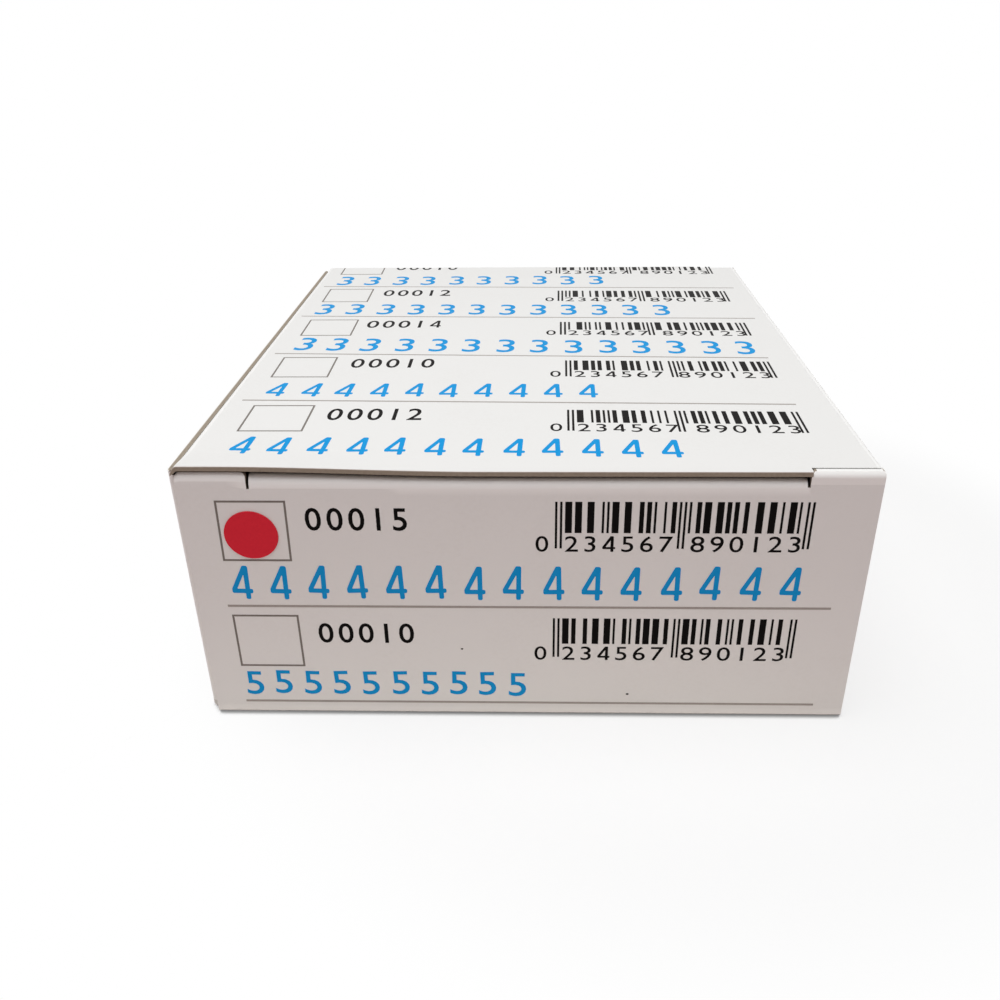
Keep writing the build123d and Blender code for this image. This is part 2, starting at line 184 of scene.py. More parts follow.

# %% [markdown]
# ## The carton's board
# Folding boxboard is a sandwich: a white clay coat that takes the print, a core of grey
# recycled fibre, and a bare grey back. It shows three faces, so it gets three materials.
# The coat is smooth but not flat: a fine fibre pattern of about 0.4 mm shows through, and the
# sheet waves a little over centimetres. Where it is creased the coat turns whiter, and it is
# painted whiter still there as a painted highlight, as are the tips of the closures' ears. One
# material with a mask could paint all three faces, but a slot for each is easier to follow.


# %% Clay-coated printed side
def painted_gap_shade(add, clean):
    # Painted shade: where two boards nearly touch, the colour is darkened towards a dark brown, standing in for
    # the shadow in the gap.
    gap = add("ShaderNodeAmbientOcclusion", {"Distance": 0.8 * MM}, samples=6)
    blend = add(
        "ShaderNodeMapRange",
        {"Value": gap.outputs["AO"], "From Min": 0.4, "From Max": 0.58},
        interpolation_type="SMOOTHSTEP",
    )
    # Mix colours: inputs 6 and 7 are the two colours.
    return add("ShaderNodeMix", {0: blend, 6: "#3A2E26", 7: clean}, data_type="RGBA")


def clay_coated_board():
    material, add, shader, place = new_material("boxboard_clay_coated_side", Roughness=0.48)
    fibre_scale = 1 / (0.4 * MM)
    cloud_scale = 1 / (9 * MM)
    fibre = add("ShaderNodeTexNoise", {"Vector": place, "Scale": fibre_scale, "Detail": 3.0})
    cloud = add("ShaderNodeTexNoise", {"Vector": place, "Scale": cloud_scale, "Detail": 2.0})
    tone = add("ShaderNodeMath", {0: fibre, 1: cloud}, operation="ADD")
    crease = add("ShaderNodeAttribute", attribute_name="crease")
    coat = add("ShaderNodeMix", {0: tone, 6: "#E9E7E4", 7: "#EFEEEC"}, data_type="RGBA")
    # Creases whiten the coat, and this white is also a painted highlight on the folds and on the ears' tips.
    crease_white_and_highlight = add("ShaderNodeMix", {0: crease.outputs["Fac"], 6: coat, 7: "#FBFAF8"}, data_type="RGBA")
    # The coat is darkened in narrow gaps by the painted gap shade.
    gap_shaded = painted_gap_shade(add, crease_white_and_highlight)
    rough = add("ShaderNodeMapRange", {"Value": fibre, "To Min": 0.42, "To Max": 0.56})
    grain = add("ShaderNodeBump", {"Height": fibre, "Strength": 0.25, "Distance": 0.012 * MM})
    wave = add("ShaderNodeBump", {"Height": cloud, "Strength": 0.5, "Distance": 0.1 * MM, "Normal": grain})
    set_inputs(shader, {"Base Color": gap_shaded, "Roughness": rough, "Normal": wave})
    return material


printed_side = clay_coated_board()
print("nodes in the coat", len(printed_side.node_tree.nodes))


# %% Grey back and cut edge
def grey_board_back():
    # Pulp dried on a wire: matt, slightly blotchy, with darker and lighter fibres about 1 mm long.
    material, add, shader, place = new_material("boxboard_grey_recycled_back", Roughness=0.86)
    along = add(
        "ShaderNodeMapping", {"Vector": place, "Scale": (1 / (1.2 * MM), 1 / (0.25 * MM), 1 / (0.25 * MM))},
    )
    fibre = add("ShaderNodeTexNoise", {"Vector": along, "Scale": 1.0, "Detail": 4.0})
    blotch = add("ShaderNodeTexNoise", {"Vector": place, "Scale": 1 / (4 * MM), "Detail": 3.0})
    tone = add("ShaderNodeMapRange", {"Value": fibre, "From Min": 0.3, "From Max": 0.7})
    pulp = add("ShaderNodeMix", {0: tone, 6: "#A69F95", 7: "#C6C0B6"}, data_type="RGBA")
    patchy = add("ShaderNodeMix", {0: blotch, 6: pulp, 7: "#BDB6AB"}, data_type="RGBA")
    finish_surface(shader, patchy, fibre, 0.6, 0.03)
    return material


def die_cut_edge():
    # A steel rule crushes the sheet as it cuts: the thin white coat shows as a pale line along
    # one side, and the core under it is brownish grey and frayed.
    material, add, shader, place = new_material("boxboard_die_cut_edge", Roughness=0.9)
    fray = add("ShaderNodeTexNoise", {"Vector": place, "Scale": 1 / (0.3 * MM), "Detail": 4.0})
    depth = add("ShaderNodeAttribute", attribute_name="depth")
    core = add("ShaderNodeMix", {0: fray, 6: "#887C6F", 7: "#ACA08F"}, data_type="RGBA")
    coat_line = add("ShaderNodeMapRange", {"Value": depth.outputs["Fac"], "From Min": 0.06, "From Max": 0.2})
    layers = add("ShaderNodeMix", {0: coat_line, 6: "#E4DFD7", 7: core}, data_type="RGBA")
    # The cut edge is darkened in narrow gaps by the painted gap shade as well.
    finish_surface(shader, painted_gap_shade(add, layers), fray, 0.8, 0.04)
    return material


board_materials = (printed_side, grey_board_back(), die_cut_edge())
print("board materials", [m.name for m in board_materials])

# %% [markdown]
# ## Folding a flat outline
# A carton starts as one flat blank, so each piece here starts as a flat outline too. Flat
# plates set edge to edge would be simpler, but real folds are round and have no gap. The
# outline is filled, cut along its fold lines, and then every point is carried onto the folded
# shape, once for the outer face and once for the inner one. Rim faces close the two, so the
# result is a solid sheet of board with real thickness, and its folds are true arcs.


# %% A folded strip seen edge-on
def direction(angle):
    return Vector((math.cos(angle), math.sin(angle)))


def left_of(angle):
    return Vector((-math.sin(angle), math.cos(angle)))


def fold_line(start, heading, stretches, step=15, margin=0.15):
    """Stretches are lengths, or (radius, degrees) for a fold to the left of the way along."""
    parts = []
    cuts = []
    folds = []
    at = Vector(start)
    angle = math.radians(heading)
    along = 0.0
    for stretch in stretches:
        radius, turn = stretch if isinstance(stretch, tuple) else (0, 0)
        parts.append((along, at.copy(), angle, radius))
        if radius:
            length = radius * math.radians(turn)
            count = math.ceil(turn / step)
            cuts += [along - margin, along + length + margin]
            cuts += [along + length * k / count for k in range(count + 1)]
            folds.append((along - fold_slack, along + length + fold_slack, math.inf))
            at += radius * left_of(angle)
            angle += math.radians(turn)
            at -= radius * left_of(angle)
        else:
            length = stretch
            at += length * direction(angle)
        along += length

    def place(distance, depth):
        first, corner, way, radius = [p for p in parts if p[0] <= distance + 1e-6 or p is parts[0]][-1]
        left = left_of(way)
        if not radius:
            return corner + (distance - first) * direction(way) + depth * left
        turned = way + (distance - first) / radius
        return corner + radius * left - (radius - depth) * left_of(turned)

    return place, cuts, folds, along


def rounded(corners, steps=6):
    """An outline whose corners (x, y, radius) are rounded; a plain corner has radius 0."""
    points = []
    for k, (x, y, radius) in enumerate(corners):
        here = Vector((x, y))
        before = Vector(corners[k - 1][:2]) - here
        after = Vector(corners[(k + 1) % len(corners)][:2]) - here
        if not radius:
            points.append(here)
            continue
        half = before.angle(after) / 2
        centre = here + (before.normalized() + after.normalized()).normalized() * radius / math.sin(half)
        first = here + before.normalized() * radius / math.tan(half) - centre
        last = here + after.normalized() * radius / math.tan(half) - centre
        turn = first.angle_signed(last)
        for step in range(steps + 1):
            points.append(centre + Matrix.Rotation(-turn * step / steps, 2) @ first)
    return points


fold_length = fold_line((0, 0), 0, [(fold_radius, 90)])[3]
print("a right-angled fold takes", round(fold_length, 2), "mm of board")


# %% Bend, lift and cut
def smooth_step(value, low, high):
    t = min(max((value - low) / (high - low), 0), 1)
    return t * t * (3 - 2 * t)


def lifted(point, share=1.0):
    """The board springs up a little at the front left corner of the top panel."""
    across = smooth_step(-point.x, *lift_across) - smooth_step(-point.x, *lift_end)
    forward = smooth_step(-point.y, *lift_forward)
    upward = smooth_step(point.z, *lift_upward)
    return point + Vector((0, 0, share * edge_lift * across * forward * upward))


def cut_flat(mesh, cuts):
    for axis, places in enumerate(cuts):
        normal = Vector((1 - axis, axis, 0))
        for at in places:
            parts = mesh.verts[:] + mesh.edges[:] + mesh.faces[:]
            bmesh.ops.bisect_plane(mesh, geom=parts, plane_co=normal * at, plane_no=normal, dist=1e-3)
    bmesh.ops.dissolve_degenerate(mesh, edges=mesh.edges[:], dist=2e-3)


corner = lifted(Vector((3 - half_width, -half_depth, height)))
print("near the front left corner the top is at", round(corner.z, 2), "mm")


# %% Fold and thicken one piece of board
def new_piece(name, data, materials=()):
    piece = bpy.data.objects.new(name, data)
    scene.collection.objects.link(piece)
    for material in materials:
        data.materials.append(material)
    return piece


def board_piece(name, outline, cuts, place, folds, coated=()):
    """place(u, v, depth) gives a point in millimetres; u runs over the folds, v along them.

    Folds are (first u, last u, half length). The rim is bare where it doesn't lie at a coated u or v.
    """
    flat = bmesh.new()
    blank = flat.faces.new([flat.verts.new((*p, 0)) for p in outline])
    blank.normal_update()
    bmesh.ops.triangulate(flat, faces=[blank])
    cut_flat(flat, cuts)
    flat.verts.index_update()
    count = len(flat.verts)
    points = [place(v.co.x, v.co.y, depth) * MM for depth in (0, board) for v in flat.verts]
    faces = [[v.index for v in f.verts] for f in flat.faces]
    inner = [[i + count for i in reversed(face)] for face in faces]
    rim = []
    rim_slots = []
    for edge in flat.edges:
        if edge.is_boundary:
            loop = edge.link_loops[0]
            a, b = loop.vert.index, loop.link_loop_next.vert.index
            rim.append((b, a, a + count, b + count))
            ends = [{round(abs(v.co[axis]), 4) for v in edge.verts} for axis in (0, 1)]
            rim_slots.append(0 if any({round(at, 4)} in ends for at in coated) else 2)
    # The mask covers the folds, whose coat whitens and gets a painted highlight, and the ears' tips, which get
    # only a painted highlight.
    crease_and_highlight_mask = [float(any(a <= v.co.x <= b and abs(v.co.y) < c for a, b, c in folds)) for v in flat.verts]
    mesh = bpy.data.meshes.new(name)
    mesh.from_pydata(points, [], faces + inner + rim)
    mesh.polygons.foreach_set("material_index", [0] * len(faces) + [1] * len(inner) + rim_slots)
    mesh.polygons.foreach_set("use_smooth", [True] * (2 * len(faces)) + [False] * len(rim))
    mesh.attributes.new("crease", "FLOAT", "POINT").data.foreach_set("value", crease_and_highlight_mask * 2)
    mesh.attributes.new("depth", "FLOAT", "POINT").data.foreach_set("value", [0.0] * count + [1.0] * count)
    flat.free()
    solid = bmesh.new()
    solid.from_mesh(mesh)
    bmesh.ops.recalc_face_normals(solid, faces=solid.faces[:])
    for edge in solid.edges:
        edge.smooth = len({f.material_index for f in edge.link_faces}) == 1
    solid.to_mesh(mesh)
    solid.free()
    piece = new_piece(name, mesh, board_materials)
    print(name, len(mesh.vertices), "points")
    return piece


# %% [markdown]
# ## The tube
# Five panels of one strip go round the stamp. Seen from the front, the strip starts at the raw
# edge of the left panel, goes down, round the bottom and up the right side, over the top, and
# folds down inside the left panel as the glue flap. One outline with four folds makes it, so
# the print side runs round every fold without a seam.


# %% The tube in one sheet
quarter_fold = (fold_radius, 90)
quarter_arc = fold_radius * math.pi / 2
side_run = seam_z - fold_radius
base_run = 2 * (half_width - fold_radius)
right_run = height - 2 * fold_radius
top_run = 2 * half_width - board - 2 * fold_radius
glue_run = height - fold_radius - glue_low_z
tube_stretches = [side_run]
for run in (base_run, right_run, top_run, glue_run):
    tube_stretches += [quarter_fold, run]
tube_place, tube_cuts, tube_folds, tube_length = fold_line((-half_width, seam_z), -90, tube_stretches)
base_start = side_run + quarter_arc
base_end = base_start + base_run
right_start = base_end + quarter_arc
top_start = right_start + right_run + quarter_arc
glue_start = top_start + top_run + quarter_arc

dust_base = box_mm("front_dust_flap_left")[0].z
corner_half = abs(hinges["front_dust_left_fold"].y)
panel_half = corner_half - panel_setback
base_half = half_depth - crease_start
notch_run = half_width - closure_right + ear_width - fold_radius - notch_side_gap
notch_half = half_depth - board - notch_gap
tube_half = [
    (0, panel_half), (seam_z - dust_base, panel_half), (seam_z - dust_base, corner_half),
    (base_start, corner_half), (base_start, base_half), (base_end, base_half), (base_end, corner_half),
    (right_start + dust_base - fold_radius, corner_half), (right_start + dust_base - fold_radius, panel_half),
    (right_start + right_run, panel_half), (right_start + right_run, notch_half),
    (top_start + notch_run, notch_half), (top_start + notch_run, half_depth),
    (glue_start, half_depth), (glue_start, glue_half), (tube_length, glue_half - glue_taper),
]
tube_outline = tube_half + [(u, -v) for u, v in reversed(tube_half)]


def place_tube(u, v, depth):
    flat = tube_place(u, depth)
    return lifted(Vector((flat.x, v, flat.y)))


# Where the panel springs up it needs points to bend at: every 1.5 mm across, every 0.5 mm back.
lift_cuts = [top_start + 0.5 * top_run + k * 1.5 for k in range(22)]
front_cuts = [-half_depth + 0.5 * k for k in range(1, 11)]
tube = board_piece(
    "carton_tube", tube_outline, (tube_cuts + lift_cuts, front_cuts), place_tube, tube_folds,
    (corner_half, notch_half),
)
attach(tube, "carton")
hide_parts("top_panel", "bottom_panel", "left_panel", "right_panel", "glue_flap")
print("the tube's blank is", round(tube_length, 1), "by", round(2 * half_depth, 1), "mm")

# %% [markdown]
# ## Closures, tucks and dust flaps
# Each end has a closure that opens on a crease along the bottom, a tuck on its upper edge, and
# two dust flaps on the side panels. A crease is board that bends, so each closure and dust
# flap is one sheet that runs from the carton round its crease into the flap. The two ends are
# the same shape, turned to face the other way.


# %% How a closure is folded
ear_left = closure_left + ear_width
ear_right = closure_right - ear_width
bend_mid = bend_radius - board / 2
tuck_joint = hinges["front_tuck_fold"]
bend_z = tuck_joint.z - bend_mid * math.cos(math.radians(tuck_droop))
wall_run = bend_z - crease_radius
crease_arc = crease_radius * math.pi / 2
wall_start = crease_start - crease_radius + crease_arc
bend_start = wall_start + wall_run
ear_end = bend_start + ear_top - bend_z
tall_ear_end = bend_start + height - tall_ear_drop - bend_z
slit_ends = [bend_start - drop for drop in slit_drop]
wall_stretches = [crease_start - crease_radius, (crease_radius, 90), wall_run]
wall_place, _, wall_folds, _ = fold_line((half_depth - crease_start, 0), 0, wall_stretches)
bend_place, bend_cuts, _, bend_end = fold_line(
    (half_depth - crease_start, 0), 0, wall_stretches + [(bend_radius, 90 + tuck_droop)], margin=0.7,
)
# The bend's strip is partly a painted highlight. The ears' tips are no fold and get only a painted highlight.
closure_folds_and_highlights = wall_folds + [
    (bend_start - fold_slack, bend_end + fold_slack, ear_right - slit_width / 2),
    (ear_end - ear_highlight_reach, bend_end + fold_slack, half_width),
]
print("closure", round(wall_run, 2), "mm to its bend, ears", round(ear_end - bend_start, 2), "mm above it")


# %% The closures
def closure_outline():
    slit_left = ear_left + slit_width
    slit_right = ear_right - slit_width
    return rounded([
        (0, closure_left, 0), (ear_end, closure_left, ear_corner), (ear_end, ear_left, ear_corner),
        (slit_ends[0], ear_left, 0), (slit_ends[0], slit_left, 0), (bend_end, slit_left, 0),
        (bend_end, slit_right, 0), (slit_ends[1], slit_right, 0), (slit_ends[1], ear_right, 0),
        (tall_ear_end, ear_right, ear_corner), (tall_ear_end, closure_right, tall_ear_corner),
        (0, closure_right, 0),
    ])


def place_closure(facing):
    def place(u, v, depth):
        in_ear = not ear_left + slit_width / 2 < v < ear_right - slit_width / 2
        flat = (wall_place if in_ear else bend_place)(u, depth)
        tip, reach = (ear_end, ear_reach[0]) if v < 0 else (tall_ear_end, ear_reach[1])
        inward = ear_lean * (max(u - tip + reach, 0) / reach) ** 2 if in_ear else 0
        return lifted(Vector((v, facing * (flat.x - inward), flat.y)), closure_lift)
    return place


# Points to bend at: every 1.5 mm across the sheet, and every 0.15 mm up the ears' tips.
sheet_cuts = [closure_left + 0.5 + 1.5 * k for k in range(44)]
ear_cuts = [ear_end - 0.85 + 0.15 * k for k in range(9)]
for end, facing in ends:
    closure = board_piece(
        f"{end}_closure_board", closure_outline(), (bend_cuts + ear_cuts, sheet_cuts),
        place_closure(facing), closure_folds_and_highlights, (tall_ear_end,),
    )
    joint = hinges[f"{end}_closure_fold"] * MM
    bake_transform(closure)
    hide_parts(f"{end}_closure")

# %% The tucks
tuck_left = ear_left + slit_width + tuck_side_gap
tuck_right = ear_right - slit_width - tuck_side_gap
tuck_cuts = [0.3, 0.6, 1.2]  # closer together near the crease
tuck_blend = 0.8         # a length along the tuck from its crease


def place_tuck(facing):
    start = bend_place(bend_end, 0)
    along = direction(math.radians(180 + tuck_droop))
    inward = Vector((-along.y, along.x))

    def place(u, v, depth):
        flat = start + u * along + depth * inward
        return lifted(Vector((v, facing * flat.x, flat.y)), closure_lift)
    return place


tuck_outline = rounded([
    (0, tuck_left, 0), (tuck_length, tuck_left, tuck_corner), (tuck_length, tuck_right, tuck_corner),
    (0, tuck_right, 0),
])
for end, facing in ends:
    tuck = board_piece(f"{end}_tuck_board", tuck_outline, (tuck_cuts, sheet_cuts), place_tuck(facing), [])
    joint = hinges[f"{end}_tuck_fold"] * MM
    run = tuck_blend * MM * Vector((0, -facing, -math.tan(math.radians(tuck_droop))))
    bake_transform(tuck)
    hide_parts(f"{end}_tuck")

# %% The dust flaps
dust_low, dust_high = box_mm("front_dust_flap_left")
dust_joint = hinges["front_dust_left_fold"]
dust_length = dust_high.x - dust_joint.x
dust_notch_z = 26.5
dust_tip_drop = 2.6
dust_tip_rise = 11.9
dust_shoulder = 6.0      # stops short of the slit, so the slit is dark
dust_corner = 1.5
shoulder_corner = 0.4
dust_edge_share = 0.6    # how far round the crease the side panel's upper edge runs on
dust_side = -dust_low.y - crease_radius - panel_half
dust_start = dust_side + crease_arc
dust_place, dust_cuts, dust_folds, _ = fold_line(
    (half_width, panel_half), 90, [dust_side, (crease_radius, 90), dust_length],
)
joint_run = dust_start + (-dust_joint.x - half_width + crease_radius)


def dust_outline():
    tip = joint_run + dust_length
    return rounded([
        (0, dust_low.z, 0), (dust_start, dust_low.z, 0), (tip, dust_low.z + dust_tip_rise, dust_corner),
        (tip, dust_notch_z - dust_tip_drop, dust_corner), (joint_run + dust_shoulder, dust_notch_z, 0),
        (joint_run + dust_shoulder, dust_high.z, shoulder_corner), (dust_start, dust_high.z, 0),
        (dust_side + dust_edge_share * crease_arc, seam_z, 0), (0, seam_z, 0),
    ])


def place_dust(facing, side):
    def place(u, v, depth):
        flat = dust_place(u, depth)
        return Vector((side * flat.x, facing * flat.y, v))
    return place


for end, facing in ends:
    for name, side in (("left", -1), ("right", 1)):
        flap = board_piece(
            f"{end}_dust_board_{name}", dust_outline(), (dust_cuts, []),
            place_dust(facing, side), dust_folds,
        )
        joint = hinges[f"{end}_dust_{name}_fold"] * MM
        joint.z = 0
        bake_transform(flap)
        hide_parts(f"{end}_dust_flap_{name}")

# %% [markdown]
# ## Printing inks
# The print is offset ink, a film far thinner than a hair. An image could carry it, but it
# would blur from near by. So it is drawn as closed solids that stand 0.012 mm proud and sink
# a little into the board, which keeps it sharp and in place from any angle. Blue is for the
# sample digits, black for numbers and bars, and grey for hairlines and boxes.


# %% Ink and label materials
def offset_ink(name, thin, full):
    # Offset ink soaks into the clay coat unevenly: its density wavers over 0.5 mm or so.
    material, add, shader, place = new_material(name, Specular_IOR_Level=0.03)
    cover = add("ShaderNodeTexNoise", {"Vector": place, "Scale": 1 / (0.5 * MM), "Detail": 3.0})
    blend = add("ShaderNodeMix", {0: cover, 6: thin, 7: full}, data_type="RGBA")
    gloss = add("ShaderNodeMapRange", {"Value": cover, "To Min": 0.5, "To Max": 0.35})
    set_inputs(shader, {"Base Color": blend, "Roughness": gloss})
    return material


def label_paper():
    # A round stock label of fluorescent red paper: matt, with the paper's fibres under the dye.
    sockets = {"Roughness": 0.6, "Specular_IOR_Level": 0.15}
    material, add, shader, place = new_material("label_paper_dyed_red", **sockets)
    fibre = add("ShaderNodeTexNoise", {"Vector": place, "Scale": 1 / (0.25 * MM), "Detail": 4.0})
    dye = add("ShaderNodeMix", {0: fibre, 6: "#DD1F36", 7: "#EA2A3C"}, data_type="RGBA")
    finish_surface(shader, dye, fibre, 0.3, 0.01)
    return material


inks = {
    "blue": offset_ink("offset_ink_process_blue", "#1EA0E6", "#1098DE"),
    "black": offset_ink("offset_ink_black", "#120F0E", "#080606"),
    "grey": offset_ink("offset_ink_grey_hairline", "#8E8882", "#7A746F"),
    "pale": offset_ink("offset_ink_grey_screened", "#B3ACA7", "#A39C97"),
    "red": label_paper(),
}
print("inks", list(inks))


# %% Flat shapes from outlines and digits
sample_four = (2.12, 4.0)
font_four = (0.43, 0.7)  # the same four among the font's digits, in units of the font
font_four_at = (0.25, 0.345, 0)


def evaluated_mesh(draft):
    mesh = bpy.data.meshes.new_from_object(draft.evaluated_get(bpy.context.evaluated_depsgraph_get()))
    bpy.data.objects.remove(draft)
    return mesh


def filled(*outlines):
    """A flat solid one unit thick: the first outline is its border, the others are holes."""
    curve = bpy.data.curves.new("outline", "CURVE")
    curve.dimensions = "2D"
    curve.fill_mode = "BOTH"
    curve.extrude = 0.5
    for outline in outlines:
        spline = curve.splines.new("POLY")
        spline.points.add(len(outline) - 1)
        for point, (x, y) in zip(spline.points, outline):
            point.co = (x, y, 0, 1)
        spline.use_cyclic_u = True
    return evaluated_mesh(new_piece("draft", curve))


def fit(mesh, width, height, middle=(0.5, 0.5)):
    """Scales a flat mesh to a size, with the given share of its box at the origin."""
    low = Vector([min(v.co[k] for v in mesh.vertices) for k in range(3)])
    high = Vector([max(v.co[k] for v in mesh.vertices) for k in range(3)])
    size = high - low
    at = Vector((low.x + middle[0] * size.x, low.y + middle[1] * size.y, low.z + 0.5 * size.z))
    scale = Matrix.Diagonal((width / size.x, height / size.y, 1 / size.z, 1))
    mesh.transform(scale @ Matrix.Translation(-at))
    return mesh


def closed_four(width, height):
    # A four that is closed at the top, with one even stroke and round ends.
    border = rounded([
        (0.385, 0, 0.05), (0.525, 0, 0.05), (0.525, 0.18, 0.01), (0.61, 0.18, 0.05), (0.61, 0.31, 0.05),
        (0.525, 0.31, 0.01), (0.525, 1, 0.06), (0.37, 1, 0.05), (0, 0.31, 0.05), (0, 0.18, 0.05),
        (0.385, 0.18, 0.01),
    ])
    hole = rounded([(0.15, 0.31, 0.015), (0.385, 0.75, 0.01), (0.385, 0.31, 0.01)])
    return fit(filled(border, hole), width, height)


def digits(text, width, height, weight=0.0, pitch=0.62, middle=(0.5, 0.5)):
    """Digits side by side at one pitch, in units of the font, then scaled to a size."""
    row = bmesh.new()
    for k, digit in enumerate(text):
        if digit == "4":
            mesh = closed_four(*font_four)
            mesh.transform(Matrix.Translation(font_four_at))
        else:
            curve = bpy.data.curves.new("digit", "FONT")
            curve.body = digit
            curve.extrude = 0.5
            curve.resolution_u = 4
            curve.offset = weight
            mesh = evaluated_mesh(new_piece("draft", curve))
        mesh.transform(Matrix.Translation((k * pitch, 0, 0)))
        row.from_mesh(mesh)
        bpy.data.meshes.remove(mesh)
    mesh = bpy.data.meshes.new("digits")
    row.to_mesh(mesh)
    row.free()
    return fit(mesh, width, height, middle)


print("four", len(closed_four(*sample_four).vertices), "points")

# %% [markdown]
# ## Rows of digits and bar codes
# What repeats is made by Geometry Nodes. One tree sets a digit along a line and lets each copy
# wander and tilt a little, as hand-set type does. The other lays thirty bars of random width
# side by side, adds up the widths before each one to find its place, and scales the whole code
# to its size. Bars 0, 1, 14, 15, 28 and 29 are thin and long: they guard the ends and middle.


# %% A tree for a row of digits
def new_tree(name, sockets):
    """The adder for a new tree, and what its named inputs give."""
    tree = bpy.data.node_groups.new(name, "GeometryNodeTree")
    for label, kind in sockets.items():
        tree.interface.new_socket(label, in_out="INPUT", socket_type=f"NodeSocket{kind}")
    tree.interface.new_socket("Geometry", in_out="OUTPUT", socket_type="NodeSocketGeometry")
    return partial(add_node, tree), add_node(tree, "NodeGroupInput").outputs


def end_tree(add, geometry, material):
    real = add("GeometryNodeRealizeInstances", {0: geometry})
    inked = add("GeometryNodeSetMaterial", {"Geometry": real, "Material": material})
    return add("NodeGroupOutput", {0: inked}).id_data


def digit_row_tree():
    add, given = new_tree("row_of_digits", {
        "Glyph": "Object", "Count": "Int", "Pitch": "Float", "Wander": "Float", "Tilt": "Float",
        "Seed": "Int", "Ink": "Material",
    })
    step = add("ShaderNodeCombineXYZ", {"X": given["Pitch"]})
    line = add("GeometryNodeMeshLine", {"Count": given["Count"], "Offset": step})
    # Random Value: inputs 0 and 1 are the vector range.
    shift = add(
        "FunctionNodeRandomValue",
        {0: (-1, -1, 0), 1: (1, 1, 0), "Seed": given["Seed"]},
        data_type="FLOAT_VECTOR",
    )
    wander = add("ShaderNodeVectorMath", {0: shift, "Scale": given["Wander"]}, operation="SCALE")
    loose = add("GeometryNodeSetPosition", {"Geometry": line, "Offset": wander})
    lean = add("FunctionNodeRandomValue", {0: (0, 0, -1), 1: (0, 0, 1), "Seed": 7}, data_type="FLOAT_VECTOR")
    tilt = add("ShaderNodeVectorMath", {0: lean, "Scale": given["Tilt"]}, operation="SCALE")
    glyph = add("GeometryNodeObjectInfo", {"Object": given["Glyph"], "As Instance": True})
    row = add(
        "GeometryNodeInstanceOnPoints",
        {"Points": loose, "Instance": glyph.outputs["Geometry"], "Rotation": tilt},
    )
    return end_tree(add, row, given["Ink"])


row_tree = digit_row_tree()
print("tree", row_tree.name)


# %% A tree for a bar code
def bar_code_tree():
    add, given = new_tree("bar_code", {
        "Bars": "Int", "Width": "Float", "Bar Length": "Float", "Guard Length": "Float",
        "Seed": "Int", "Ink": "Material",
    })
    index = add("GeometryNodeInputIndex")
    beat = add("ShaderNodeMath", {0: index, 1: 14.0}, operation="MODULO")
    guard = add("ShaderNodeMath", {0: beat, 1: 1.5}, operation="LESS_THAN")
    widths = []
    for shift, most in ((0, 3.2), (31, 2.9)):
        seed = add("ShaderNodeMath", {0: given["Seed"], 1: float(shift)}, operation="ADD")
        # Random Value: inputs 2 and 3 are the float range.
        drawn = add("FunctionNodeRandomValue", {2: 0.51, 3: most, "Seed": seed})
        whole = add("ShaderNodeMath", {0: drawn}, operation="ROUND")
        chosen = add("ShaderNodeMix", {0: guard, 2: whole, 3: 1.0})
        widths.append(chosen)
    step = add("ShaderNodeMath", {0: widths[0], 1: widths[1]}, operation="ADD")
    placed = add("GeometryNodeAccumulateField", {0: step})
    scale = add("ShaderNodeMath", {0: given["Width"], 1: placed.outputs["Total"]}, operation="DIVIDE")
    centre = add(
        "ShaderNodeMath", {0: widths[0], 1: 0.5, 2: placed.outputs["Trailing"]}, operation="MULTIPLY_ADD",
    )
    across = add("ShaderNodeMath", {0: centre, 1: scale}, operation="MULTIPLY")
    length = add("ShaderNodeMix", {0: guard, 2: given["Bar Length"], 3: given["Guard Length"]})
    down = add("ShaderNodeMath", {0: length, 1: -0.5}, operation="MULTIPLY")
    spot = add("ShaderNodeCombineXYZ", {"X": across, "Y": down})
    line = add("GeometryNodeMeshLine", {"Count": given["Bars"]})
    points = add("GeometryNodeSetPosition", {"Geometry": line, "Position": spot})
    broad = add("ShaderNodeMath", {0: widths[0], 1: scale}, operation="MULTIPLY")
    # Ink creeps, so a bar is drawn a little narrower than its share and the gaps stay open.
    bar_size = add("ShaderNodeMath", {0: broad, 1: 0.94}, operation="MULTIPLY")
    size = add("ShaderNodeCombineXYZ", {"X": bar_size, "Y": length, "Z": 1.0})
    block = add("GeometryNodeMeshCube", {"Size": (1, 1, 1)})
    bars = add("GeometryNodeInstanceOnPoints", {"Points": points, "Instance": block, "Scale": size})
    return end_tree(add, bars, given["Ink"])


def run_tree(tree, values):
    """Sets a tree's named inputs on an empty mesh and gives what it makes as a plain mesh."""
    carrier = new_piece("carrier", bpy.data.meshes.new("carrier"))
    modifier = carrier.modifiers.new("nodes", "NODES")
    modifier.node_group = tree
    for socket in tree.interface.items_tree:
        if socket.in_out == "INPUT":
            modifier[socket.identifier] = values[socket.name]
    return evaluated_mesh(carrier)


code_tree = bar_code_tree()
glyphs = {}
for name, mesh in (
    ("four", closed_four(*sample_four)),
    ("five", digits("5", 1.85, 3.1, weight=0.005)),
    ("three", digits("3", 2.25, 4.9, weight=0.004)),
):
    glyphs[name] = bpy.data.objects.new(f"glyph_{name}", mesh)
print("tree", code_tree.name, "glyphs", list(glyphs))

# %% [markdown]
# ## The size chart
# The front closure and the top panel carry one chart. Each size has a box to tick, a plain
# number, a bar code and a row of sample digits in their true size, and a hairline divides the
# sizes. The numbers here are plain counting numbers and the bar codes are random.

# %% Collect the print of one face
ink_thickness = 0.014
ink_sink = 0.002
line_width = 0.21
rule_width = 0.26
label_thickness = 0.1
print_margin = 0.15      # the top's print ends this far before its rear edge
digit_drop = 0.35        # from the bars down to the digits
# A bar code's digits, and where each group starts and ends as a share of the code's width.
code_groups = (("0", -0.075, -0.025), ("234567", 0.04, 0.46), ("890123", 0.53, 0.955))


